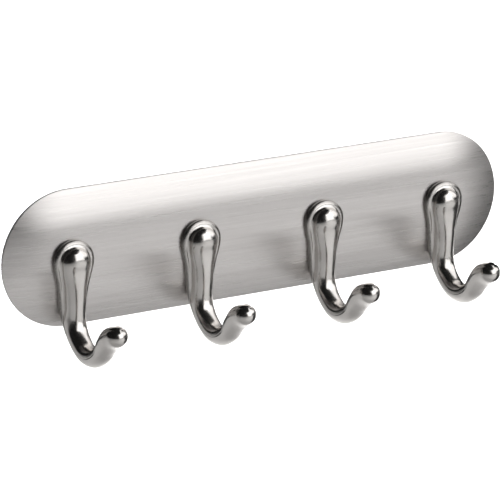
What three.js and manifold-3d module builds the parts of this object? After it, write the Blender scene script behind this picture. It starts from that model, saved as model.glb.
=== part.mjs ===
// Wall hook rack: a crowned stainless face plate with four cast hooks, each held by one screw from behind.
// Millimetres. +Z is up, +X runs along the rack and the wall is the plane y = 0. The rack stands out along -Y.
// "out" below is the distance from the wall, so y = -out.
import * as THREE from "three";
import { mergeVertices } from "three/addons/utils/BufferGeometryUtils.js";
import Module from "manifold-3d";

// Driving dimensions of the face plate.
const PLATE_LENGTH = 202;
const PLATE_HEIGHT = 50;
const SHEET = 0.8; // thickness of the pressed sheet
const EDGE_BREAK = 0.2; // the small bevel along the sheet's back edge
const RIM_STANDOFF = 1.2; // the rim stays this far off the wall
const CROWN = 4.0; // rise of the face from its rim to its middle
const HOOK_COUNT = 4;
const HOOK_PITCH = 50.4;
const GAP = 0.25; // between pieces that meet

// A hook is a low flange with a raised, rounded ridge along its middle that swells into a ball at the head.
// A bore in the head takes the screw, and a cast pin stops the hook from turning.
const HEAD = { z: 0, bore: 2.0, boreEnd: 10.8 };
const PIN = { z: -6.4, radius: 0.9, end: 4.2 };

// Sections along the hook, from the head's centre to the centre of its round tip.
// "half" and "ridge" are the half widths of the flange and the ridge. "crest", "foot" and "edge" are how far
// the ridge's top, its foot and the flange's edge stand in front of the centre line, and "back" is how far the
// back is behind it.
// "seat" is 1 where the back lies along the plate.
const SECTIONS = [
  { out: 8.0, z: 0, half: 7.78, ridge: 5.4, crest: 4.0, foot: 0, edge: -0.9, back: 2.0, seat: 1.0 },
  { out: 8.0, z: -2.6, half: 7.52, ridge: 5.2, crest: 3.5, foot: -0.05, edge: -0.95, back: 2.0, seat: 1.0 },
  { out: 8.0, z: -5.0, half: 6.95, ridge: 4.85, crest: 3.42, foot: -0.15, edge: -1.05, back: 2.0, seat: 1.0 },
  { out: 8.0, z: -7.3, half: 6.35, ridge: 4.45, crest: 3.5, foot: -0.3, edge: -1.2, back: 2.2, seat: 1.0 },
  { out: 7.8, z: -10.0, half: 5.95, ridge: 4.15, crest: 3.75, foot: -0.4, edge: -1.35, back: 2.4, seat: 1.0 },
  { out: 7.6, z: -13.2, half: 5.55, ridge: 4.0, crest: 3.95, foot: -0.4, edge: -1.7, back: 2.8, seat: 1.0 },
  { out: 7.3, z: -17.0, half: 5.1, ridge: 3.85, crest: 4.05, foot: -0.35, edge: -1.7, back: 3.1, seat: 0.8 },
  { out: 7.2, z: -21.0, half: 4.5, ridge: 4.1, crest: 4.05, foot: -0.3, edge: -1.1, back: 3.4, seat: 0.1 },
  { out: 9.0, z: -25.4, half: 4.0, ridge: 3.97, crest: 3.7, foot: -0.2, edge: -0.35, back: 3.6, seat: 0 },
  { out: 12.6, z: -28.9, half: 3.8, ridge: 3.79, crest: 3.6, foot: 0, edge: -0.1, back: 3.6, seat: 0 },
  { out: 17.3, z: -31.0, half: 3.7, ridge: 3.69, crest: 3.45, foot: 0.05, edge: -0.05, back: 3.5, seat: 0 },
  { out: 23.0, z: -30.6, half: 3.65, ridge: 3.62, crest: 3.35, foot: 0.15, edge: -0.05, back: 3.45, seat: 0 },
  { out: 28.3, z: -27.6, half: 3.65, ridge: 3.45, crest: 3.3, foot: 0.5, edge: -0.1, back: 3.4, seat: 0 },
  { out: 31.6, z: -23.3, half: 3.9, ridge: 3.3, crest: 3.5, foot: 1.1, edge: 0, back: 4.0, seat: 0 },
  { out: 35.0, z: -19.7, half: 4.1, ridge: 3.0, crest: 3.8, foot: 2.0, edge: 0, back: 4.3, seat: 0 },
  { out: 39.0, z: -17.8, half: 4.0, ridge: 2.5, crest: 3.7, foot: 2.6, edge: 0, back: 3.8, seat: 0 },
];
const LEDGE_SHARE = 0.2; // the flat part of the flange beside the ridge, where the hook is seated
const RIDGE_POWER = 0.84; // under 1 makes the ridge's section fuller than an ellipse
const WALL_SHARE = 0.25; // the part of a section's back points that make the flange's wall
const UNDERCUT = 0.4; // how far the flange's side draws in towards the plate

// Fasteners, back insert and adhesive pads.
const SCREW = { shank: 1.7, end: 10.3, head: 3.6, headBack: 2.4, headFront: 4.1 };
const RECESS = { width: 0.8, length: 4.2, depth: 1.0 }; // the cross recess in the screw's head
const WASHER = { inner: 2.1, outer: 4.0, back: 4.35, front: 4.95, split: 0.6 };
const PLATE_HOLE = 2.2;
const PIN_HOLE = 1.2;
const INSERT = { inset: 4, back: 0.6, opening: 5.4, lowest: -9.4 };
const PAD = { width: 33, height: 30, thickness: 1.1, corner: 3, clearance: 0.4 };

const ROUND = 20; // sides on a small round
const END_STEPS = 12; // steps round each half-round end of the plate
const CROWN_STEPS = 6;
const RIDGE_ANGLES = [0, 18, 36, 54, 70, 84]; // degrees round from the crest
const FLANGE_ANGLES = [88, 60, 30, 0]; // degrees round from the flange's side
const BACK_STEPS = 4; // steps from the flange's side to the middle of the back
const HEAD_STEPS = 9; // steps from the side of the head to its top
const TIP_STEPS = 5;
const STEPS_PER_SECTION = 3;

const endRadius = PLATE_HEIGHT / 2;
const straightHalf = PLATE_LENGTH / 2 - endRadius;
const faceMiddle = RIM_STANDOFF + SHEET + CROWN;
const hookPositions = Array.from({ length: HOOK_COUNT }, (_, i) => (i - (HOOK_COUNT - 1) / 2) * HOOK_PITCH);
const padPositions = hookPositions.slice(1).map((x, i) => (x + hookPositions[i]) / 2);

const wasm = await Module();
wasm.setup();

// ---- Solids -----------------------------------------------------------------------------------------

// The same geometry with its vertices merged by place, and its collapsed triangles dropped.
function welded(geometry) {
  const bare = geometry.clone();
  bare.deleteAttribute("normal");
  bare.deleteAttribute("uv");
  const merged = mergeVertices(bare, 1e-4);
  const kept = [];
  for (let i = 0; i < merged.index.count; i += 3) {
    const [a, b, c] = [0, 1, 2].map((k) => merged.index.getX(i + k));
    if (a !== b && b !== c && c !== a) kept.push(a, b, c);
  }
  return merged.setIndex(kept);
}

function toSolid(geometry) {
  const { attributes, index } = welded(geometry);
  const triVerts = new Uint32Array(index.array);
  const vertProperties = attributes.position.array;
  return new wasm.Manifold(new wasm.Mesh({ numProp: 3, vertProperties, triVerts }));
}

function toGeometry(solid) {
  const mesh = solid.getMesh();
  const geometry = new THREE.BufferGeometry();
  geometry.setAttribute("position", new THREE.BufferAttribute(mesh.vertProperties, 3));
  geometry.setIndex(new THREE.BufferAttribute(mesh.triVerts, 1));
  geometry.computeVertexNormals();
  return geometry;
}

// The closed surface through rings with equal counts. The end rings are folded flat or on one point.
function throughRings(rings) {
  const count = rings[0].length;
  const index = [];
  for (let r = 0; r + 1 < rings.length; r++) {
    for (let i = 0; i < count; i++) {
      const a = r * count + i;
      const b = r * count + ((i + 1) % count);
      index.push(a, b, b + count, a, b + count, a + count);
    }
  }
  return new THREE.BufferGeometry().setFromPoints(rings.flat()).setIndex(index);
}

// A shape drawn in X and Z, with its thickness running out from the wall.
function extrudeOut(shape, from, to) {
  const geometry = new THREE.ExtrudeGeometry(shape, {
    depth: to - from,
    bevelEnabled: false,
    curveSegments: ROUND / 4,
  });
  return geometry.rotateX(Math.PI / 2).translate(0, -from, 0);
}

// A round bar along Y at (x, z).
function barOut(radius, from, to, x, z) {
  const bar = new THREE.CylinderGeometry(radius, radius, to - from, ROUND);
  return toSolid(bar.translate(x, -(from + to) / 2, z));
}

// A box centred on the rack's middle line.
function boxOut(width, height, from, to) {
  return toSolid(new THREE.BoxGeometry(width, to - from, height).translate(0, -(from + to) / 2, 0));
}

// A shape turned about a line along Y, from its outline of [radius, out], which starts at the wall.
function turned(outline) {
  const points = outline.map(([radius, out]) => new THREE.Vector2(radius, -out));
  return toSolid(new THREE.LatheGeometry(points.reverse(), ROUND));
}

function roundedRectangle(width, height, corner) {
  const [w, h] = [width / 2 - corner, height / 2 - corner];
  const shape = new THREE.Shape();
  shape.absarc(w, h, corner, 0, Math.PI / 2);
  shape.absarc(-w, h, corner, Math.PI / 2, Math.PI);
  shape.absarc(-w, -h, corner, Math.PI, 1.5 * Math.PI);
  shape.absarc(w, -h, corner, 1.5 * Math.PI, 2 * Math.PI);
  return shape;
}

// ---- The plate and what lies behind it --------------------------------------------------------------

// How far out the face is at a distance from the plate's middle line.
function faceOut(distance) {
  return faceMiddle - CROWN * (distance / endRadius) ** 2;
}

// A ring that follows the plate's outline, "distance" from its middle line.
function stadiumRing(distance, out) {
  const ring = [];
  for (const side of [1, -1]) {
    for (let i = 0; i <= END_STEPS; i++) {
      const angle = side * Math.PI * (i / END_STEPS - 0.5);
      const x = side * (straightHalf + distance * Math.cos(angle));
      ring.push(new THREE.Vector3(x, -out, side * distance * Math.sin(side * angle)));
    }
  }
  return ring;
}

// Rings from the middle line to a distance from it. They follow the face at a depth under it.
function crownRings(distance, depth) {
  const steps = Array.from({ length: CROWN_STEPS + 1 }, (_, i) => (distance * i) / CROWN_STEPS);
  return steps.map((d) => stadiumRing(d, faceOut(d) - depth));
}

function makePlate() {
  const rim = [
    stadiumRing(endRadius - SHEET, RIM_STANDOFF),
    stadiumRing(endRadius - EDGE_BREAK, RIM_STANDOFF),
    stadiumRing(endRadius, RIM_STANDOFF + EDGE_BREAK),
  ];
  const rings = [...crownRings(endRadius - SHEET, SHEET), ...rim, ...crownRings(endRadius, 0).reverse()];
  let plate = toSolid(throughRings(rings));
  for (const x of hookPositions) {
    plate = plate.subtract(barOut(PLATE_HOLE, 0, faceMiddle + 1, x, HEAD.z));
    plate = plate.subtract(barOut(PIN_HOLE, 0, faceMiddle + 1, x, PIN.z));
  }
  return toGeometry(plate);
}

// A moulding that fills the crown. It is open round each screw, and has a pocket for each pad.
function makeInsert() {
  const edge = endRadius - INSERT.inset;
  const back = [stadiumRing(0, INSERT.back), stadiumRing(edge, INSERT.back)];
  const rings = [...back, ...crownRings(edge, SHEET + GAP).reverse()];
  let insert = toSolid(throughRings(rings));

  const opening = new THREE.Shape();
  opening.absarc(0, HEAD.z, INSERT.opening, 0, Math.PI);
  opening.absarc(0, INSERT.lowest + INSERT.opening, INSERT.opening, Math.PI, 2 * Math.PI);
  for (const x of hookPositions) {
    insert = insert.subtract(toSolid(extrudeOut(opening, 0, faceMiddle)).translate(x, 0, 0));
  }
  const { width, height, corner, clearance } = PAD;
  const pocket = roundedRectangle(width + 2 * clearance, height + 2 * clearance, corner + clearance);
  for (const x of padPositions) {
    insert = insert.subtract(toSolid(extrudeOut(pocket, 0, PAD.thickness + GAP)).translate(x, 0, 0));
  }
  return toGeometry(insert);
}

function makePad() {
  return extrudeOut(roundedRectangle(PAD.width, PAD.height, PAD.corner), 0, PAD.thickness);
}

// ---- The hook ---------------------------------------------------------------------------------------

// The section at a place along the hook, counted in sections, with the direction of the centre line there.
const sectionKeys = ["out", "z", "half", "ridge", "crest", "foot", "edge", "back", "seat"];
const alongHook = new THREE.CubicInterpolant(
  SECTIONS.map((_, i) => i),
  SECTIONS.flatMap((section) => sectionKeys.map((key) => section[key])),
  sectionKeys.length,
);

function sectionAt(place) {
  const values = [...alongHook.evaluate(place)];
  const section = Object.fromEntries(sectionKeys.map((key, k) => [key, values[k]]));
  const STEP = 0.02;
  const [beforeOut, beforeZ] = [...alongHook.evaluate(Math.max(place - STEP, 0))];
  const [afterOut, afterZ] = [...alongHook.evaluate(Math.min(place + STEP, SECTIONS.length - 1))];
  section.seat = THREE.MathUtils.clamp(section.seat, 0, 1);
  section.along = new THREE.Vector2(afterOut - beforeOut, afterZ - beforeZ).normalize();
  return section;
}

// Half of a section from its crest to the middle of its back. Each point has its distance across, its depth
// towards the front, and how much of the way it is moved to the plate's face.
function halfSection({ half, ridge, crest, foot, edge, back, seat }) {
  const points = [];
  for (const degrees of RIDGE_ANGLES) {
    const angle = THREE.MathUtils.degToRad(degrees);
    const rise = (crest - foot) * Math.cos(angle) ** RIDGE_POWER;
    points.push({ across: ridge * Math.sin(angle) ** RIDGE_POWER, depth: foot + rise, onPlate: 0 });
  }
  const ledge = ridge + (half - ridge) * LEDGE_SHARE * seat;
  for (const degrees of FLANGE_ANGLES) {
    const angle = THREE.MathUtils.degToRad(degrees);
    const across = ledge + (half - ledge) * Math.cos(angle);
    points.push({ across, depth: edge + (foot - edge) * Math.sin(angle), onPlate: 0 });
  }
  for (let k = 1; k <= BACK_STEPS; k++) {
    const share = k / BACK_STEPS;
    const angle = (Math.PI / 2) * share;
    const inward = Math.max(share - WALL_SHARE, 0) / (1 - WALL_SHARE);
    const across = THREE.MathUtils.lerp(half * Math.cos(angle), (half - UNDERCUT) * (1 - inward), seat);
    const depth = THREE.MathUtils.lerp(edge - (back + edge) * Math.sin(angle), edge, seat);
    points.push({ across, depth, onPlate: seat });
  }
  return points;
}

// One ring of the hook. "turn" swings both halves of the section up about the head's axis, to close its top.
function hookRing(section, turn = 0) {
  const { out, z, seat, along } = section;
  // The front of a section faces the bowl, which is a quarter turn left of the centre line's direction.
  const tilt = seat > 0.999 ? new THREE.Vector2(1, 0) : new THREE.Vector2(-along.y, along.x);
  const side = halfSection(section).map(({ across, depth, onPlate }) => {
    const height = z + tilt.y * depth + across * Math.sin(turn);
    const far = THREE.MathUtils.lerp(out + tilt.x * depth, faceOut(height) + GAP, onPlate);
    return new THREE.Vector3(across * Math.cos(turn), -far, height);
  });
  const otherSide = side.slice(1, -1).reverse();
  return [...side, ...otherSide.map(({ x, y, z }) => new THREE.Vector3(-x, y, z))];
}

// The section at an angle round the hook's end. It shrinks to nothing, and its ridge does so a bit sooner.
function tipSection(tip, angle) {
  const RIDGE_END = 1.2;
  const size = Math.cos(angle);
  const ridgeSize = size * Math.max(Math.cos(angle * RIDGE_END), 0.02);
  const ahead = tip.crest * Math.sin(angle);
  return {
    ...tip,
    out: tip.out + tip.along.x * ahead,
    z: tip.z + tip.along.y * ahead,
    half: tip.half * size,
    ridge: tip.ridge * ridgeSize,
    crest: tip.foot * size + (tip.crest - tip.foot) * ridgeSize,
    foot: tip.foot * size,
    edge: tip.edge * size,
    back: tip.back * size,
  };
}

function makeHook() {
  const rings = [];
  for (let i = HEAD_STEPS; i > 0; i--) {
    rings.push(hookRing(sectionAt(0), (Math.PI / 2) * (i / HEAD_STEPS)));
  }
  const last = (SECTIONS.length - 1) * STEPS_PER_SECTION;
  for (let i = 0; i <= last; i++) {
    rings.push(hookRing(sectionAt(i / STEPS_PER_SECTION)));
  }
  const tip = sectionAt(SECTIONS.length - 1);
  for (let i = 1; i <= TIP_STEPS; i++) {
    rings.push(hookRing(tipSection(tip, (Math.PI / 2) * (i / TIP_STEPS))));
  }
  const bore = barOut(HEAD.bore, 0, HEAD.boreEnd, 0, HEAD.z);
  const pin = barOut(PIN.radius, PIN.end, faceMiddle + 1, 0, PIN.z);
  return toGeometry(toSolid(throughRings(rings.reverse())).subtract(bore).add(pin));
}

// ---- Fasteners --------------------------------------------------------------------------------------

// A low-headed machine screw with a cross recess, driven from behind.
function makeScrew() {
  const { shank, end, head, headBack, headFront } = SCREW;
  const chamfer = 0.5;
  const body = turned([
    [0, headBack],
    [head - chamfer, headBack],
    [head, headBack + chamfer],
    [head, headFront],
    [shank, headFront],
    [shank, end - chamfer],
    [shank - chamfer, end],
    [0, end],
  ]);
  const floor = headBack + RECESS.depth;
  const level = boxOut(RECESS.length, RECESS.width, 0, floor);
  const upright = boxOut(RECESS.width, RECESS.length, 0, floor);
  return toGeometry(body.subtract(level.add(upright)));
}

// A split lock washer.
function makeWasher() {
  const { inner, outer, back, front, split } = WASHER;
  const ring = turned([
    [inner, back],
    [outer, back],
    [outer, front],
    [inner, front],
    [inner, back],
  ]);
  const cut = toSolid(new THREE.BoxGeometry(split, 2 * front, outer).translate(0, 0, (inner + outer) / 2));
  return toGeometry(ring.subtract(cut));
}

// ---- The assembly -----------------------------------------------------------------------------------

const brushedSteel = { color: 0xb5afac, roughness: 0.34, metalness: 1 };
const satinNickel = { color: 0xc4beb9, roughness: 0.14, metalness: 1 };
const zincSteel = { color: 0xa9abad, roughness: 0.38, metalness: 1 };
const mouldedPlastic = { color: 0x2b2c2e, roughness: 0.55, metalness: 0 };
const foamTape = { color: 0xd9d9d4, roughness: 0.9, metalness: 0 };

const rack = new THREE.Group();

function addPiece(name, geometry, look, x = 0, z = 0) {
  const mesh = new THREE.Mesh(geometry, new THREE.MeshStandardMaterial(look));
  mesh.name = name;
  mesh.position.set(x, 0, z);
  rack.add(mesh);
}

addPiece("face_plate", makePlate(), brushedSteel);
addPiece("back_insert", makeInsert(), mouldedPlastic);
for (const [i, x] of hookPositions.entries()) {
  addPiece(`hook_${i + 1}`, makeHook(), satinNickel, x);
  addPiece(`hook_screw_${i + 1}`, makeScrew(), zincSteel, x, HEAD.z);
  addPiece(`lock_washer_${i + 1}`, makeWasher(), zincSteel, x, HEAD.z);
}
for (const [i, side] of ["left", "center", "right"].entries()) {
  addPiece(`adhesive_pad_${side}`, makePad(), foamTape, padPositions[i]);
}

export default rack;
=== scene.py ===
"""Wall hook rack: a crowned brushed-steel plate with four polished hooks.

The row frame: +Z is up, +X runs along the rack and the wall is the plane y = 0. The rack stands out
along -Y, and "out" is the distance from the wall. Sizes are in millimetres, and meshes are made in metres.
"""
import math

import bmesh
import bpy
import numpy as np
from mathutils import Matrix, Vector


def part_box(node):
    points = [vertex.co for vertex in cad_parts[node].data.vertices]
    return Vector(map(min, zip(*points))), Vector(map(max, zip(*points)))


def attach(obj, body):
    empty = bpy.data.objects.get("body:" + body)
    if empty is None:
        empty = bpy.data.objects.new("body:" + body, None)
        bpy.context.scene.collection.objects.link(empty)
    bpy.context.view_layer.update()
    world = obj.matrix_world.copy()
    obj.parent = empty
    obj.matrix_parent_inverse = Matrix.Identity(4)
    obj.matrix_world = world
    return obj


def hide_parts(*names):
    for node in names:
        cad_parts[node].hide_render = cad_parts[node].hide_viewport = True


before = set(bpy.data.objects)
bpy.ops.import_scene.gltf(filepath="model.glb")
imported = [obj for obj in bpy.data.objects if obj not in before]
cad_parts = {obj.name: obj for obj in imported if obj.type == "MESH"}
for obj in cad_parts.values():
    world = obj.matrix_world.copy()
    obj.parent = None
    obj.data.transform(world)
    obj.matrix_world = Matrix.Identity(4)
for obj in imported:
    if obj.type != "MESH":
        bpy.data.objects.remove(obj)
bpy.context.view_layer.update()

MM = 0.001
SHARP_DEGREES = 35  # edges sharper than this stay sharp in the shading

# ---- Sizes, from the frame where it holds them -------------------------------------------------------


def node_box_mm(node):
    low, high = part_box(node)
    return np.array(low) / MM, np.array(high) / MM


plate_low, plate_high = node_box_mm("face_plate")
END_RADIUS = (plate_high[2] - plate_low[2]) / 2
STRAIGHT_HALF = (plate_high[0] - plate_low[0]) / 2 - END_RADIUS
RIM_OUT = -plate_high[1]  # the back edge of the sheet
FACE_OUT = -plate_low[1]  # the middle line of the face
SHEET = 0.8
CROWN = FACE_OUT - RIM_OUT - SHEET
EDGE_RADIUS = 0.3
HOOK_X = [sum(box[0] for box in node_box_mm(f"hook_{i + 1}")) / 2 for i in range(4)]


def face_out(distance):
    """How far out the face is at a distance from the plate's middle line."""
    return FACE_OUT - CROWN * (distance / END_RADIUS) ** 2


# ---- Mesh helpers ------------------------------------------------------------------------------------


def linked(obj):
    bpy.context.scene.collection.objects.link(obj)
    return obj


def smooth(mesh, sharp_degrees):
    """Shades a mesh smooth, except across edges sharper than an angle."""
    mesh.polygons.foreach_set("use_smooth", [True] * len(mesh.polygons))
    mesh.set_sharp_from_angle(angle=math.radians(sharp_degrees))


def new_object(name, vertices, faces, sharp_degrees=SHARP_DEGREES):
    """A smooth-shaded object from points in millimetres."""
    mesh = bpy.data.meshes.new(name)
    mesh.from_pydata([tuple(float(c) * MM for c in v) for v in vertices], [], faces)
    tidy = bmesh.new()
    tidy.from_mesh(mesh)
    bmesh.ops.remove_doubles(tidy, verts=tidy.verts, dist=1e-7)
    bmesh.ops.dissolve_degenerate(tidy, edges=tidy.edges, dist=1e-8)
    bmesh.ops.recalc_face_normals(tidy, faces=tidy.faces)
    tidy.to_mesh(mesh)
    tidy.free()
    smooth(mesh, sharp_degrees)
    return linked(bpy.data.objects.new(name, mesh))


def ring_faces(ring_count, points_per_ring):
    """Quads through closed rings of points."""
    faces = []
    for r in range(ring_count - 1):
        for i in range(points_per_ring):
            a = r * points_per_ring + i
            b = r * points_per_ring + (i + 1) % points_per_ring
            faces.append((a, b, b + points_per_ring, a + points_per_ring))
    return faces


def loft(name, rings, sharp_degrees=SHARP_DEGREES):
    """The surface through closed rings. The first and last ring are folded flat or shrunk to a point."""
    vertices = [point for ring in rings for point in ring]
    return new_object(name, vertices, ring_faces(len(rings), len(rings[0])), sharp_degrees)


def circle(radius, out, steps=64):
    """A ring about a line along Y. "radius" is a number, or a function of the angle."""
    ring = []
    for k in range(steps):
        angle = 2 * math.pi * k / steps
        r = radius(angle) if callable(radius) else radius
        ring.append((r * math.cos(angle), -out, r * math.sin(angle)))
    return ring


def turned(name, outline, steps=64, sharp_degrees=SHARP_DEGREES):
    """A solid turned about a line along Y. Its outline of (radius, out) starts and ends on the line."""
    return loft(name, [circle(radius, out, steps) for radius, out in outline], sharp_degrees)


def bar(name, radius, out_from, out_to, steps=64):
    """A round bar along Y."""
    return turned(name, [(0, out_from), (radius, out_from), (radius, out_to), (0, out_to)], steps)


def applied(obj, sharp_degrees=SHARP_DEGREES):
    """The same object with its modifiers applied to its mesh."""
    evaluated = obj.evaluated_get(bpy.context.evaluated_depsgraph_get())
    mesh = bpy.data.meshes.new_from_object(evaluated)
    obj.modifiers.clear()
    obj.data = mesh
    smooth(mesh, sharp_degrees)
    return obj


def combined(obj, others, operation="DIFFERENCE", sharp_degrees=SHARP_DEGREES):
    """Cuts the other objects out of obj, or joins them to it, and removes them."""
    for other in others:
        boolean = obj.modifiers.new("combine", "BOOLEAN")
        boolean.operation = operation
        boolean.solver = "EXACT"
        boolean.object = other
    bpy.context.view_layer.update()
    applied(obj, sharp_degrees)
    for other in others:
        bpy.data.objects.remove(other)
    return obj


def bevelled(obj, width):
    bevel = obj.modifiers.new("bevel", "BEVEL")
    bevel.width = width * MM
    bevel.segments = 2
    bevel.limit_method = "ANGLE"
    bevel.angle_limit = math.radians(40)
    bpy.context.view_layer.update()
    return applied(obj)


def arc(cx, cy, radius, start, end, steps):
    """Points on an arc, from one angle in degrees to another."""
    angles = np.radians(np.linspace(start, end, steps + 1))
    return [(cx + radius * math.cos(a), cy + radius * math.sin(a)) for a in angles]


def prism(name, outline, out_from, out_to):
    """A closed prism from an outline in X and Z, between two distances from the wall."""
    count = len(outline)
    vertices = [(x, -out, z) for out in (out_from, out_to) for x, z in outline]
    faces = ring_faces(2, count)
    faces += [tuple(range(count)), tuple(range(2 * count - 1, count - 1, -1))]
    return new_object(name, vertices, faces)


def rounded_rectangle(width, height, corner):
    w, h = width / 2 - corner, height / 2 - corner
    points = []
    for k, (x, z) in enumerate(((w, h), (-w, h), (-w, -h), (w, -h))):
        points += arc(x, z, corner, 90 * k, 90 * k + 90, 10)
    return points


def placed(obj, x=0.0, z=0.0):
    obj.location = (x * MM, 0, z * MM)
    return obj


# ---- The face plate ----------------------------------------------------------------------------------

SCREW_HOLE = 2.2  # radius
PIN_HOLE = 1.2
PAST = 1.0  # how far a hole's cutter goes past the face
END_STEPS = 72
STRAIGHT_STEPS = 60


def stadium_ring(distance, out):
    """A ring that follows the plate's outline, with even steps along its straight sides."""
    ring = []
    for side in (1, -1):
        for k in range(END_STEPS + 1):
            angle = math.pi * (k / END_STEPS - 0.5)
            x = side * (STRAIGHT_HALF + distance * math.cos(angle))
            ring.append((x, -out, side * distance * math.sin(angle)))
        for k in range(1, STRAIGHT_STEPS):
            x = side * STRAIGHT_HALF * (1 - 2 * k / STRAIGHT_STEPS)
            ring.append((x, -out, side * distance))
    return ring


def crown_rings(distance, depth, steps=26):
    """Rings from the middle line to a distance from it, at a depth under the face."""
    return [stadium_ring(d, face_out(d) - depth) for d in np.linspace(0.0, distance, steps + 1)]


def rim_arc(centre_out, start, end):
    """Rings round the sheet's edge, on an arc of the edge radius."""
    points = arc(-EDGE_RADIUS, centre_out, EDGE_RADIUS, start, end, 5)
    return [stadium_ring(END_RADIUS + inset, out) for inset, out in points]


def make_plate():
    edge_out = face_out(END_RADIUS)
    rings = crown_rings(END_RADIUS - SHEET, SHEET)
    rings.append(stadium_ring(END_RADIUS - SHEET, RIM_OUT))
    rings += rim_arc(RIM_OUT + EDGE_RADIUS, -90, 0)
    rings += rim_arc(edge_out - EDGE_RADIUS, 0, 80)
    rings += crown_rings(END_RADIUS - EDGE_RADIUS * 0.9, 0)[::-1]
    plate = loft("brushed_face_plate", rings)
    cutters = []
    for x in HOOK_X:
        for z, radius in ((0.0, SCREW_HOLE), (PIN_Z, PIN_HOLE)):
            cutters.append(placed(bar("hole", radius, 0, FACE_OUT + PAST), x, z))
    return combined(plate, cutters)


# ---- The hooks ---------------------------------------------------------------------------------------

# Sections along the hook, from the head's centre to the centre of its round tip. The columns are out, z,
# the half widths of the flange and of the ridge on it, then how far in front of the centre line the
# ridge's crest, its foot and the flange's edge are, how far behind it the back is, and the share in which
# the back is seated on the plate.
SECTIONS = np.array([
    (8.0, 0.0, 7.78, 5.4, 4.0, 0.0, -0.9, 2.0, 1.0),
    (8.0, -2.6, 7.52, 5.2, 3.5, -0.05, -0.95, 2.0, 1.0),
    (8.0, -5.0, 6.95, 4.85, 3.42, -0.15, -1.05, 2.0, 1.0),
    (8.0, -7.3, 6.35, 4.45, 3.5, -0.3, -1.2, 2.2, 1.0),
    (7.8, -10.0, 5.95, 4.15, 3.75, -0.4, -1.35, 2.4, 1.0),
    (7.6, -13.2, 5.55, 4.0, 3.95, -0.4, -1.7, 2.8, 1.0),
    (7.3, -17.0, 5.1, 3.85, 4.05, -0.35, -1.7, 3.1, 0.8),
    (7.2, -21.0, 4.5, 4.1, 4.05, -0.3, -1.1, 3.4, 0.1),
    (9.0, -25.4, 4.0, 3.97, 3.7, -0.2, -0.35, 3.6, 0.0),
    (12.6, -28.9, 3.8, 3.79, 3.6, 0.0, -0.1, 3.6, 0.0),
    (17.3, -31.0, 3.7, 3.69, 3.45, 0.05, -0.05, 3.5, 0.0),
    (23.0, -30.6, 3.65, 3.62, 3.35, 0.15, -0.05, 3.45, 0.0),
    (28.3, -27.6, 3.65, 3.45, 3.3, 0.5, -0.1, 3.4, 0.0),
    (31.6, -23.3, 3.9, 3.3, 3.5, 1.1, 0.0, 4.0, 0.0),
    (35.0, -19.7, 4.1, 3.0, 3.8, 2.0, 0.0, 4.3, 0.0),
    (39.0, -17.8, 4.0, 2.5, 3.7, 2.6, 0.0, 3.8, 0.0),
])
CREST, FOOT, SEAT = 4, 5, 8  # columns
FIRST_FREE = 8  # the first section that is clear of the plate
HOOK_SHARP_DEGREES = 60
STEPS_PER_SECTION = 7
HEAD_STEPS = 22
TIP_STEPS = 14
RIDGE_STEPS = 16
FLANGE_STEPS = 6
BACK_STEPS = 10
WALL_SHARE = 0.4  # how much of the back's steps are on the side wall where the hook is seated
RIDGE_POWER = 0.84  # below 1 the ridge is flatter than an ellipse, with rounder sides
LEDGE_SHARE = 0.2  # the flat part of the flange beside the ridge, where the hook is seated
UNDERCUT = 0.4  # how far the flange's side draws in towards the plate
PAINTED_SHADE_START = 0.05  # how far below the flange's flat the painted shade starts, and over what depth it grows
PAINTED_SHADE_DEPTH = 0.3
PAINTED_SHADE_END = 24.0  # the painted shade ends this far below the head's centre, and over what length it fades
PAINTED_SHADE_FADE = 4.0
RIDGE_END = 1.2  # how much sooner the ridge ends than the tip
BORE_RADIUS = 2.0
BORE_END = 10.8
BORE_CONE = 0.6  # the pointed end that the drill leaves
PIN_Z = -6.4
PIN_RADIUS = 0.9
PIN_END = 4.2
PIN_CHAMFER = 0.25


def smooth_sections():
    """The sections and their rate of change at even steps, by Catmull-Rom interpolation."""
    mirrored = SECTIONS[1].copy()
    mirrored[1] = 2 * SECTIONS[0, 1] - SECTIONS[1, 1]  # the head is level across its centre
    ends = np.vstack([mirrored, SECTIONS, 2 * SECTIONS[-1] - SECTIONS[-2]])
    values, rates = [], []
    for k in range(1, len(ends) - 2):
        a, b, c, d = ends[k - 1 : k + 3]
        square = 2 * a - 5 * b + 4 * c - d
        cube = 3 * b - a - 3 * c + d
        is_last = k == len(ends) - 3
        for t in np.arange(STEPS_PER_SECTION + is_last) / STEPS_PER_SECTION:
            section = (2 * b + (c - a) * t + square * t**2 + cube * t**3) / 2
            section[SEAT] = min(max(section[SEAT], 0.0), 1.0)
            values.append(section)
            rates.append(((c - a) + 2 * square * t + 3 * cube * t**2) / 2)
    return values, rates


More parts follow.
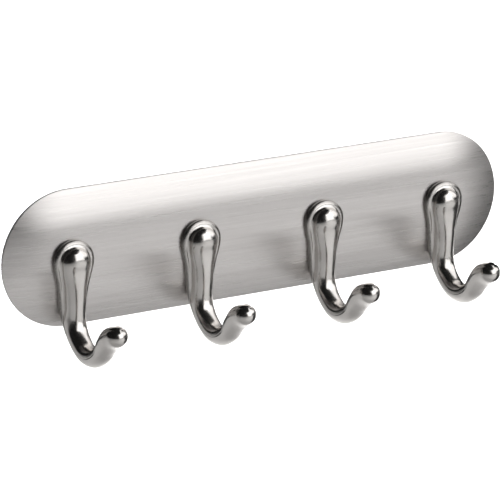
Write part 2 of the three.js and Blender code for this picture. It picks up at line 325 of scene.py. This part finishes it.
def half_section(section, scale, ridge_scale):
    """Half of a section, from its crest to the middle of its back.

    Each point is (distance across, depth towards the front, share of the way that it is moved to the plate).
    """
    half, ridge, crest, foot, edge, back, seat = section[2:]
    inner = ridge * ridge_scale
    points = []
    # Both arcs leave out their last degrees at the ledge, where their points could meet.
    for a in np.radians(np.linspace(0, 87, RIDGE_STEPS + 1)):
        rise = (crest - foot) * ridge_scale * math.cos(a) ** RIDGE_POWER
        points.append((inner * math.sin(a) ** RIDGE_POWER, foot + rise, 0.0))
    ledge = inner + (half - inner) * LEDGE_SHARE * seat
    for a in np.radians(np.linspace(88, 0, FLANGE_STEPS + 1)):
        across = ledge + (half - ledge) * math.cos(a)
        points.append((across, edge + (foot - edge) * math.sin(a), 0.0))
    for k in range(1, BACK_STEPS + 1):
        share = k / BACK_STEPS
        angle = math.pi / 2 * share
        free = (half * math.cos(angle), edge - (back + edge) * math.sin(angle))
        if share <= WALL_SHARE:
            wall = share / WALL_SHARE
            seated = (half - UNDERCUT * wall ** 2, edge, wall)
        else:
            seated = ((half - UNDERCUT) * (1 - share) / (1 - WALL_SHARE), edge, 1.0)
        across = free[0] + (seated[0] - free[0]) * seat
        depth = free[1] + (seated[1] - free[1]) * seat
        points.append((across, depth, seated[2] * seat))
    return [(across * scale, depth * scale, on_plate) for across, depth, on_plate in points]


def hook_ring(section, along, turn=0.0, scale=1.0, ridge_scale=1.0):
    """One ring of the hook. "turn" swings both halves up about the head's axis, to close the head's top."""
    out, z = section[:2]
    # The front of a section faces the bowl, and where the hook is fully seated it faces straight out.
    tilt = (1.0, 0.0) if section[SEAT] > 0.999 else (-along[1], along[0])
    side = []
    for across, depth, on_plate in half_section(section, scale, ridge_scale):
        height = z + tilt[1] * depth + across * math.sin(turn)
        far = out + tilt[0] * depth
        far += (face_out(height) - far) * on_plate
        side.append((across, far, height))
    right = [(a * math.cos(turn), -o, h) for a, o, h in side]
    left = [(-a * math.cos(turn), -o, h) for a, o, h in side[-2:0:-1]]
    return right + left


def make_hook(name):
    values, rates = smooth_sections()
    rings = []
    for k in range(HEAD_STEPS, 0, -1):
        rings.append(hook_ring(values[0], (0, -1), turn=math.pi / 2 * k / HEAD_STEPS))
    for section, rate in zip(values, rates):
        along = rate[:2] / np.linalg.norm(rate[:2])
        rings.append(hook_ring(section, along))
    tip = values[-1]
    for k in range(1, TIP_STEPS + 1):
        angle = math.pi / 2 * k / TIP_STEPS
        ahead = tip.copy()
        ahead[:2] += along * tip[CREST] * math.sin(angle)
        ridge_scale = max(math.cos(angle * RIDGE_END), 0.02)
        rings.append(hook_ring(ahead, along, scale=math.cos(angle), ridge_scale=ridge_scale))
    hook = loft(name, rings, sharp_degrees=HOOK_SHARP_DEGREES)
    root = FACE_OUT + 1  # inside the casting
    pin = [(0, PIN_END), (PIN_RADIUS - PIN_CHAMFER, PIN_END), (PIN_RADIUS, PIN_END + PIN_CHAMFER)]
    pin += [(PIN_RADIUS, root), (0, root)]
    combined(hook, [placed(turned("pin", pin), 0, PIN_Z)], "UNION", sharp_degrees=HOOK_SHARP_DEGREES)
    bore = [(0, 0), (BORE_RADIUS, 0), (BORE_RADIUS, BORE_END - BORE_CONE), (0, BORE_END)]
    combined(hook, [turned("bore", bore)], sharp_degrees=HOOK_SHARP_DEGREES)
    mark_painted_shade(hook)
    return hook


def mark_painted_shade(hook):
    """Marks, from 0 to 1, the flange's side and wall next to the plate, where painted shade darkens the
    nickel.
    """
    # The recess attribute holds this mask of painted shade.
    layer = hook.data.attributes.new("recess", "FLOAT", "POINT")
    seated = SECTIONS[:FIRST_FREE]
    for vertex, value in zip(hook.data.vertices, layer.data):
        _, y, z = vertex.co / MM
        flat = np.interp(-z, -seated[:, 1], seated[:, 0] + seated[:, FOOT])
        share = min(max((flat + y - PAINTED_SHADE_START) / PAINTED_SHADE_DEPTH, 0), 1)
        value.value = share * min(max((z + PAINTED_SHADE_END) / PAINTED_SHADE_FADE, 0), 1)


# ---- Behind the plate --------------------------------------------------------------------------------

GAP = 0.25
INSERT_EDGE = 0.4  # the size of the round along the insert's back edge
INSERT_BEVEL = 0.18
PAD_CORNER = 3.0
POCKET_CLEARANCE = 0.4
OPENING_RADIUS = 5.4  # an opening is two half rounds, the lower one set down to clear the locating pin
OPENING_DROP = 4.0
MARK_RADIUS = 1.6  # ejector marks, to the left and right of each hook, above and below it
MARK_DEPTH = 0.12
MARK_X = 3.0
MARK_Z = (13.5, -15.0)
# A pad's cut edge: how far it is drawn in, at a share of the thickness.
PAD_EDGE = [(0, 0.6), (0, 0.1), (0.08, 0), (0.25, 0.06), (0.5, 0.13)]
PAD_EDGE += [(1 - share, inset) for share, inset in PAD_EDGE[-2::-1]]
SHANK = 1.7
THREAD_ROOT = 1.38
THREAD_PITCH = 0.7
THREAD_FLANK = 1.3  # above 1 the thread has a flat crest
THREAD_STEP = 0.07  # between two rings along the thread
THREAD_FADE = 0.8  # the thread runs out over this length at both ends
RUNOUT = 0.25  # how much thinner the shank is where the thread has run out
END_CHAMFER = 0.35
SCREW_HEAD = 1.7
# The head's rounded back: how far in from its side, and how far in front of its back.
HEAD_ROUND = [(0.9, 0.06), (0.4, 0.22), (0.1, 0.5), (0, 0.9)]
HEAD_CHAMFER = 0.15
SLOT_LENGTH = 4.2
SLOT_WIDTH = 0.8
SLOT_DEPTH = 1.0
SOCKET_RADIUS = 1.15  # the round middle of the cross recess narrows to its floor and ends in a cone
SOCKET_FLOOR_RADIUS = 0.95
SOCKET_CONE = 0.35
WASHER_INNER = 2.1
WASHER_TWIST = 0.06  # how far each end of the washer is moved along the screw
WASHER_SPLIT = 0.1  # radians on each side
PAD_NODES = ["adhesive_pad_left", "adhesive_pad_center", "adhesive_pad_right"]


def make_insert():
    """The moulding that fills the crown, open round each screw, with pad pockets and ejector marks."""
    low, high = node_box_mm("back_insert")
    back, edge = -high[1], high[2]
    rings = [stadium_ring(distance, back) for distance in np.linspace(0, edge - INSERT_EDGE, 4)]
    rings += [stadium_ring(edge - INSERT_EDGE / 4, back + INSERT_EDGE / 4)]
    rings += [stadium_ring(edge, back + INSERT_EDGE)]
    rings += crown_rings(edge, SHEET + GAP, steps=12)[::-1]
    insert = loft("moulded_back_insert", rings)
    opening = arc(0, 0, OPENING_RADIUS, 0, 180, 24) + arc(0, -OPENING_DROP, OPENING_RADIUS, 180, 360, 24)
    cutters = [placed(prism("opening", opening, 0, FACE_OUT), x) for x in HOOK_X]
    for node in PAD_NODES:
        x, width, height, thickness = pad_size(node)
        wide, tall = width + 2 * POCKET_CLEARANCE, height + 2 * POCKET_CLEARANCE
        pocket = rounded_rectangle(wide, tall, PAD_CORNER + POCKET_CLEARANCE)
        cutters.append(placed(prism("pocket", pocket, 0, thickness + GAP), x))
    for x in HOOK_X:
        for side in (MARK_X, -MARK_X):
            for z in MARK_Z:
                cutters.append(placed(bar("mark", MARK_RADIUS, 0, back + MARK_DEPTH, steps=32), x + side, z))
    return bevelled(combined(insert, cutters), INSERT_BEVEL)


def pad_size(node):
    low, high = node_box_mm(node)
    return (low[0] + high[0]) / 2, high[0] - low[0], high[2] - low[2], -low[1]


def make_pad(name, node):
    """A die-cut foam pad whose cut edge is drawn in a little at the middle of its thickness."""
    x, width, height, thickness = pad_size(node)
    rings = []
    for share, inset in PAD_EDGE:
        outline = rounded_rectangle(width - 2 * inset, height - 2 * inset, PAD_CORNER - inset)
        rings.append([(px, -share * thickness, pz) for px, pz in outline])
    count = len(rings[0])
    rings = [[(0, 0, 0)] * count, *rings, [(0, -thickness, 0)] * count]
    return placed(loft(name, rings), x)


def make_screw(name, node):
    """A low-headed machine screw with a cross recess and a cut thread."""
    low, high = node_box_mm(node)
    back, end, head = -high[1], -low[1], (high[0] - low[0]) / 2
    front = back + SCREW_HEAD

    def thread(out):
        start_fade = min(max((out - front) / THREAD_FADE, 0), 1)
        end_fade = min(max((end - out) / THREAD_FADE, 0), 1)
        fade = start_fade * end_fade

        def radius(angle):
            phase = ((out - front) / THREAD_PITCH + angle / (2 * math.pi)) % 1
            depth = min(abs(2 * phase - 1) * THREAD_FLANK, 1)
            cut = THREAD_ROOT + (SHANK - THREAD_ROOT) * depth
            return cut * fade + (SHANK - RUNOUT) * (1 - fade)

        return radius

    head_outline = [(0, back), (head * 0.5, back)]
    head_outline += [(head - inset, back + height) for inset, height in HEAD_ROUND]
    head_outline += [(head, front - HEAD_CHAMFER), (head - HEAD_CHAMFER, front)]
    head_outline += [(SHANK + HEAD_CHAMFER, front)]
    rings = [circle(radius, out, 48) for radius, out in head_outline]
    rings += [circle(thread(out), out, 48) for out in np.arange(front + 0.1, end - 0.3, THREAD_STEP)]
    rings += [circle(SHANK - END_CHAMFER, end - 0.2, 48), circle(SHANK - 2 * END_CHAMFER, end, 48)]
    rings.append(circle(0, end, 48))
    screw = loft(name, rings, sharp_degrees=45)
    w, h = SLOT_LENGTH / 2, SLOT_WIDTH / 2
    slot = [(w, h), (w, -h), (-w, -h), (-w, h)]
    floor = back + SLOT_DEPTH
    cross = [prism("slot", slot, 0, floor), prism("slot", [(z, -x) for x, z in slot], 0, floor)]
    socket = [(0, 0), (SOCKET_RADIUS, 0), (SOCKET_FLOOR_RADIUS, floor), (0, floor + SOCKET_CONE)]
    cross.append(turned("socket", socket, steps=32))
    return combined(screw, cross, sharp_degrees=45)


def make_washer(name, node):
    """A split lock washer, whose ends are set a little apart."""
    low, high = node_box_mm(node)
    back, front = -high[1] + WASHER_TWIST, -low[1] - WASHER_TWIST
    inner, outer, soft = WASHER_INNER, (high[0] - low[0]) / 2, 0.08
    outline = [(inner, back + soft), (inner + soft, back), (outer - soft, back), (outer, back + soft)]
    outline += [(outer, front - soft), (outer - soft, front), (inner + soft, front), (inner, front - soft)]
    rings = []
    steps = 72
    for k in range(steps + 1):
        share = k / steps
        angle = math.pi / 2 + WASHER_SPLIT + (2 * math.pi - 2 * WASHER_SPLIT) * share
        shift = WASHER_TWIST * (2 * share - 1)
        rings.append([(r * math.cos(angle), -(out + shift), r * math.sin(angle)) for r, out in outline])
    vertices = [point for ring in rings for point in ring]
    count = len(outline)
    faces = ring_faces(len(rings), count)
    faces += [tuple(range(count)), tuple(range(steps * count, (steps + 1) * count))]
    return new_object(name, vertices, faces)


# ---- Materials ---------------------------------------------------------------------------------------


def new_material(name, color, roughness, metallic=0.0, **sockets):
    material = bpy.data.materials.new(name)
    material.use_nodes = True
    shader = material.node_tree.nodes["Principled BSDF"]
    shader.inputs["Base Color"].default_value = (*color, 1)
    shader.inputs["Roughness"].default_value = roughness
    shader.inputs["Metallic"].default_value = metallic
    for key, value in sockets.items():
        shader.inputs[key.replace("_", " ").title()].default_value = value
    return material, shader


def add_node(material, kind, **settings):
    node = material.node_tree.nodes.new(kind)
    for key, value in settings.items():
        setattr(node, key, value)
    return node


def link(material, source, target):
    material.node_tree.links.new(source, target)


def place_noise(material, sizes, detail):
    """Noise fixed to a place, whose grains have a size in millimetres along each axis."""
    where = add_node(material, "ShaderNodeNewGeometry")
    mapping = add_node(material, "ShaderNodeMapping")
    mapping.inputs["Scale"].default_value = [1 / (MM * size) for size in sizes]
    noise = add_node(material, "ShaderNodeTexNoise")
    noise.inputs["Scale"].default_value = 1.0
    noise.inputs["Detail"].default_value = detail
    noise.inputs["Roughness"].default_value = 0.55
    link(material, where.outputs["Position"], mapping.inputs["Vector"])
    link(material, mapping.outputs["Vector"], noise.inputs["Vector"])
    return noise.outputs["Fac"]


def ranged(material, source, low, high, from_low=0.3, from_high=0.7):
    span = add_node(material, "ShaderNodeMapRange")
    span.inputs["From Min"].default_value = from_low
    span.inputs["From Max"].default_value = from_high
    span.inputs["To Min"].default_value = low
    span.inputs["To Max"].default_value = high
    link(material, source, span.inputs["Value"])
    return span.outputs["Result"]


def calculated(material, operation, a, b):
    node = add_node(material, "ShaderNodeMath", operation=operation)
    link(material, a, node.inputs[0])
    link(material, b, node.inputs[1])
    return node.outputs[0]


def product(material, a, b):
    return calculated(material, "MULTIPLY", a, b)


def added(material, a, b):
    return calculated(material, "ADD", a, b)


def mixed_color(material, factor, a, b):
    """A mix of two colours, each a triple or another node's output."""
    mix = add_node(material, "ShaderNodeMix", data_type="RGBA")
    ends = [socket for socket in mix.inputs if socket.type == "RGBA"]
    for socket, color in zip(ends, (a, b)):
        if isinstance(color, tuple):
            socket.default_value = (*color, 1)
        else:
            link(material, color, socket)
    link(material, factor, mix.inputs["Factor"])
    return next(socket for socket in mix.outputs if socket.type == "RGBA")


def set_color(material, shader, color):
    link(material, color, shader.inputs["Base Color"])


def set_roughness(material, shader, roughness):
    link(material, roughness, shader.inputs["Roughness"])


def bumped(material, shader, heights):
    """Chains bumps of (height, distance in millimetres, strength) into the shader's normal."""
    normal = None
    for height, distance, strength in heights:
        bump = add_node(material, "ShaderNodeBump")
        bump.inputs["Distance"].default_value = distance * MM
        bump.inputs["Strength"].default_value = strength
        link(material, height, bump.inputs["Height"])
        if normal:
            link(material, normal, bump.inputs["Normal"])
        normal = bump.outputs["Normal"]
    link(material, normal, shader.inputs["Normal"])


def edge_wear(material):
    """From 0 to 1, where outer edges are rubbed, broken up by noise."""
    place = add_node(material, "ShaderNodeNewGeometry")
    edge = ranged(material, place.outputs["Pointiness"], 0, 1, 0.51, 0.58)
    breaks = ranged(material, place_noise(material, (1.2, 1.2, 1.2), detail=3), 0.2, 1.0)
    return product(material, edge, breaks)


def brushed_steel():
    material, shader = new_material("brushed_steel", (0.7, 0.675, 0.66), 0.3, 1.0, anisotropic=0.6)
    lines = place_noise(material, (60, 2, 0.12), detail=5)
    bands = place_noise(material, (90, 8, 1.6), detail=3)
    face = mixed_color(material, ranged(material, bands, 0, 1), (0.66, 0.635, 0.62), (0.73, 0.705, 0.69))
    worn = ranged(material, edge_wear(material), 0, 0.5, 0, 1)
    set_color(material, shader, mixed_color(material, worn, face, (0.8, 0.78, 0.765)))
    set_roughness(material, shader, ranged(material, lines, 0.25, 0.35))
    bumped(material, shader, [(bands, 0.02, 0.1), (lines, 0.01, 0.2)])
    tangent = add_node(material, "ShaderNodeTangent", direction_type="UV_MAP", uv_map="brushing")
    link(material, tangent.outputs["Tangent"], shader.inputs["Tangent"])
    return material


def polished_nickel():
    """Nickel with faint casting waves and fine haze, with painted shade, broken up by noise, where the hook
    meets the plate.
    """
    material, shader = new_material("polished_nickel", (0.67, 0.645, 0.62), 0.2, 1.0)
    cloud = place_noise(material, (5, 5, 5), detail=2)
    haze = place_noise(material, (0.5, 0.5, 0.5), detail=4)
    # The recess attribute is the mask of painted shade on the flange's side and wall next to the plate.
    recess = add_node(material, "ShaderNodeAttribute", attribute_name="recess")
    patches = product(material, recess.outputs["Fac"], ranged(material, haze, 0.7, 1.0))
    painted_shade = ranged(material, patches, 0, 0.75, 0, 1)
    clean = mixed_color(material, ranged(material, cloud, 0, 1), (0.64, 0.615, 0.59), (0.7, 0.675, 0.65))
    # The near-black colour is painted shade on the flange's side and wall, which also makes them rougher.
    set_color(material, shader, mixed_color(material, painted_shade, clean, (0.09, 0.082, 0.075)))
    rough = ranged(material, haze, 0.17, 0.24)
    set_roughness(material, shader, added(material, rough, ranged(material, painted_shade, 0, 0.15, 0, 1)))
    bumped(material, shader, [(cloud, 0.05, 0.2)])
    return material


def zinc_plate():
    """Bright zinc with a faint bluish tint, cloudy where the plating is thin."""
    material, shader = new_material("zinc_plate", (0.66, 0.67, 0.69), 0.32, 1.0)
    cloud = place_noise(material, (1.5, 1.5, 1.5), detail=3)
    grain = place_noise(material, (0.12, 0.12, 0.12), detail=3)
    plating = mixed_color(material, ranged(material, cloud, 0, 1), (0.55, 0.57, 0.61), (0.7, 0.7, 0.69))
    set_color(material, shader, mixed_color(material, edge_wear(material), plating, (0.78, 0.77, 0.75)))
    set_roughness(material, shader, ranged(material, cloud, 0.24, 0.42))
    bumped(material, shader, [(grain, 0.01, 0.3)])
    return material


def moulded_plastic():
    """Charcoal plastic with a fine spark-eroded texture, rubbed a little smoother in patches."""
    material, shader = new_material("moulded_plastic", (0.03, 0.031, 0.033), 0.55)
    texture = place_noise(material, (0.25, 0.25, 0.25), detail=3)
    patches = place_noise(material, (14, 14, 14), detail=3)
    shade = ranged(material, patches, 0, 1)
    face = mixed_color(material, shade, (0.024, 0.025, 0.027), (0.04, 0.041, 0.043))
    set_color(material, shader, mixed_color(material, edge_wear(material), face, (0.07, 0.07, 0.072)))
    set_roughness(material, shader, ranged(material, patches, 0.42, 0.62))
    bumped(material, shader, [(texture, 0.03, 0.5)])
    return material


def foam_tape():
    """Closed-cell foam: small cells of uneven size, off-white with slight mottling."""
    material, shader = new_material("foam_tape", (0.74, 0.74, 0.71), 0.9)
    mottle = place_noise(material, (6, 6, 6), detail=4)
    cells = place_noise(material, (0.35, 0.35, 0.35), detail=2)
    color = mixed_color(material, ranged(material, mottle, 0, 1), (0.68, 0.68, 0.65), (0.78, 0.78, 0.75))
    set_color(material, shader, color)
    set_roughness(material, shader, ranged(material, cells, 0.8, 0.95))
    bumped(material, shader, [(cells, 0.08, 0.8)])
    return material


# ---- The assembly ------------------------------------------------------------------------------------


def fitted(obj, material, node):
    obj.data.materials.clear()
    obj.data.materials.append(material)
    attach(obj, "root")
    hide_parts(node)
    return obj


def add_brushing_map(obj):
    """A map whose first axis runs along the rack. Only its direction counts, for the brushing."""
    mesh = obj.data
    layer = mesh.uv_layers.new(name="brushing")
    corners = np.zeros(len(mesh.loops), np.int32)
    mesh.loops.foreach_get("vertex_index", corners)
    places = np.zeros(len(mesh.vertices) * 3, np.float32)
    mesh.vertices.foreach_get("co", places)
    places = places.reshape(-1, 3)[corners]
    layer.uv.foreach_set("vector", np.ascontiguousarray(places[:, [0, 2]] * 5).ravel())


plate = make_plate()
add_brushing_map(plate)
fitted(plate, brushed_steel(), "face_plate")
fitted(make_insert(), moulded_plastic(), "back_insert")
nickel = polished_nickel()
zinc = zinc_plate()
pattern = make_hook("hook_pattern")
for number, x in enumerate(HOOK_X, 1):
    hook = linked(bpy.data.objects.new(f"polished_hook_{number}", pattern.data.copy()))
    fitted(placed(hook, x), nickel, f"hook_{number}")
    screw = make_screw(f"threaded_screw_{number}", f"hook_screw_{number}")
    fitted(placed(screw, x), zinc, f"hook_screw_{number}")
    washer = make_washer(f"split_washer_{number}", f"lock_washer_{number}")
    fitted(placed(washer, x), zinc, f"lock_washer_{number}")
bpy.data.objects.remove(pattern)
foam = foam_tape()
for node in PAD_NODES:
    pad = make_pad(node.replace("adhesive", "foam"), node)
    fitted(pad, foam, node)

# ---- Floor, light and camera -------------------------------------------------------------------------

# Places on the stage are in metres.
FLOOR_Z = -0.35
FLOOR_HALF = 5.0
FLOOR_GLOW = 0.6  # how much brighter the camera sees the floor than it is lit
CARD_LIFT = 0.002
STRIP_START = 0.3  # how far from the rack a floor strip starts, and how high over the floor it hangs
STRIP_HEIGHT = 0.5
BACK_Y, BACK_Z = 1.0, 0.25  # where the lights behind the rack hang
# The brightness of the surroundings in the metal, of the backdrop, and of the light on the floor.
DARK, BACKDROP, FLOOR_FILL = 0.01, 0.9, 0.12

# The camera looks from the left and above with a long lens. Its sizes are in millimetres.
AZIMUTH, ELEVATION, ROLL = -29.66, 18.06, 0.68
AIM = (-2.26, -8.2)  # how far right of the middle of the plate's rim it aims, and how far above it
DISTANCE = 1435.5
LENS = 289.6


def stage_plane(name, corners, color, glow=0.0):
    """A plain flat sheet. The camera sees it brighter by "glow", which lights nothing."""
    mesh = bpy.data.meshes.new(name)
    mesh.from_pydata(corners, [], [tuple(range(len(corners)))])
    material, shader = new_material(name, color, 0.9)
    rays = add_node(material, "ShaderNodeLightPath")
    strength = ranged(material, rays.outputs["Is Camera Ray"], 0, glow, 0, 1)
    link(material, strength, shader.inputs["Emission Strength"])
    shader.inputs["Emission Color"].default_value = (1, 1, 1, 1)
    mesh.materials.append(material)
    obj = linked(bpy.data.objects.new(name, mesh))
    return obj


def dark_card(name, corners):
    """A dark sheet just over the floor, which shows only in what the metal mirrors."""
    level = FLOOR_Z + CARD_LIFT
    card = stage_plane(name, [(x, y, level) for x, y in corners], (0.03, 0.03, 0.03))
    card.visible_camera = False
    card.visible_shadow = False
    card.visible_diffuse = False


def direction(azimuth, elevation, distance):
    """A place at an angle right of straight in front of the rack and above it."""
    a, e = math.radians(azimuth), math.radians(elevation)
    level = distance * math.cos(e)
    return (level * math.sin(a), -level * math.cos(a), distance * math.sin(e))


def area_light(name, place, target, width, height, power):
    data = bpy.data.lights.new(name, "AREA")
    data.shape = "RECTANGLE"
    data.size = width
    data.size_y = height
    data.energy = power
    light = linked(bpy.data.objects.new(name, data))
    light.location = place
    light.rotation_euler = (Vector(target) - Vector(place)).to_track_quat("-Z", "Y").to_euler()
    return light


def light_behind(name, x, width, power):
    """A light behind the rack that points at the floor."""
    just_behind = BACK_Y + 0.0001  # sets which way round the light is turned
    light = area_light(name, (x, BACK_Y, BACK_Z), (x, just_behind, FLOOR_Z), width, 1.7, power)
    light.data.spread = math.radians(50)


def floor_strip(name, azimuth, length, power):
    """A strip that lights the floor below it, outwards from the rack, and isn't mirrored in the metal."""
    strip = area_light(name, direction(azimuth, 0, STRIP_START + length / 2), (0, 0, 0), 1.0, length, power)
    strip.rotation_euler = (0, 0, math.radians(azimuth))
    strip.location.z = FLOOR_Z + STRIP_HEIGHT
    strip.data.spread = math.radians(70)
    strip.visible_glossy = False


def make_world():
    """A dark room in the metal's reflections, which the camera sees as a pale backdrop."""
    world = bpy.data.worlds.new("studio")
    world.use_nodes = True
    background = world.node_tree.nodes["Background"]
    background.inputs["Color"].default_value = (1, 1, 1, 1)
    rays = add_node(world, "ShaderNodeLightPath")
    # Each term starts at half of DARK, so that rays of any other kind find DARK.
    seen = ranged(world, rays.outputs["Is Camera Ray"], DARK / 2, BACKDROP, 0, 1)
    fill = ranged(world, rays.outputs["Is Diffuse Ray"], DARK / 2, FLOOR_FILL, 0, 1)
    link(world, added(world, seen, fill), background.inputs["Strength"])
    bpy.context.scene.world = world


def make_camera():
    azimuth, roll = math.radians(AZIMUTH), math.radians(ROLL)
    back = Vector(direction(AZIMUTH, ELEVATION, 1))
    level = Vector((math.cos(azimuth), math.sin(azimuth), 0))
    up = back.cross(level)
    right = level * math.cos(roll) + up * math.sin(roll)
    top = up * math.cos(roll) - level * math.sin(roll)
    rim_middle = Vector((0, -(RIM_OUT + SHEET), 0))
    place = (rim_middle + right * AIM[0] + top * AIM[1] + back * DISTANCE) * MM
    data = bpy.data.cameras.new("camera")
    data.lens = LENS
    data.sensor_width = 36
    data.clip_start = 0.05
    data.clip_end = 30
    camera = linked(bpy.data.objects.new("camera", data))
    camera.matrix_world = Matrix.Translation(place) @ Matrix((right, top, back)).transposed().to_4x4()
    bpy.context.scene.camera = camera


floor_corners = [(x * FLOOR_HALF, y * FLOOR_HALF, FLOOR_Z) for x, y in ((-1, -1), (1, -1), (1, 1), (-1, 1))]
stage_plane("floor", floor_corners, (0.8, 0.8, 0.8), FLOOR_GLOW)
dark_card("right_card", [(0.18, -0.115), (2.9, -1.95), (3.1, 0.2), (0.5, 0.3)])
dark_card("back_card", [(-0.8, 1.1), (0.3, 1.1), (1.1, 4.5), (-1.6, 4.5)])
area_light("key_softbox", direction(26, 25, 4.6), (0, 0, 0), 3.7, 4.4, 90)
area_light("side_softbox", direction(74, 35, 3.0), (0, 0, 0), 2.6, 2.8, 33)
light_behind("back_light", 0.7, 1.5, 11)
light_behind("back_fill", -0.9, 1.7, 3)
floor_strip("floor_strip_right", 30, 2.0, 2.8)
floor_strip("floor_strip_left", -50, 2.0, 1.0)
make_world()
make_camera()
bpy.context.scene.view_settings.view_transform = "Standard"
